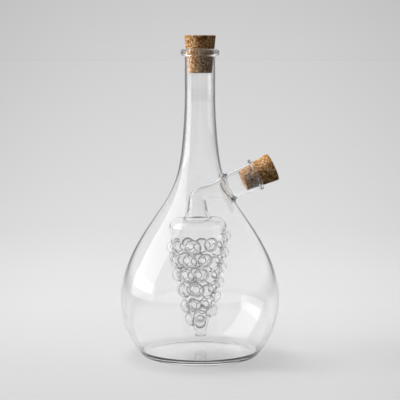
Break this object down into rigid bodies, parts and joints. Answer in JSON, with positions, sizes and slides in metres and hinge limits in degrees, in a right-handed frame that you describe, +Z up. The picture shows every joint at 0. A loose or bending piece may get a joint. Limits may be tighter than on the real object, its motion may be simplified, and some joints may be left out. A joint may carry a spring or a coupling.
{
  "type": "dual-compartment glass bottle",
  "caption": "Clear onion-shaped bottle for oil and vinegar: long corked neck, and inside it a grape-shaped flask that pours through its own corked side spout.",
  "frame": {"origin": "centre of the bearing ring that the bottle stands on, at table level", "axes": "+Z up the neck, +X towards the side spout"},
  "size_m": [0.125, 0.125, 0.2513],
  "materials": {
    "glass": "clear, polished, colourless",
    "cork": "matt agglomerated cork, brown grains"
  },
  "bodies": {
    "root": {"glass_bottle": "glass", "neck_cork": "cork", "spout_cork": "cork"}
  },
  "joints": []
}
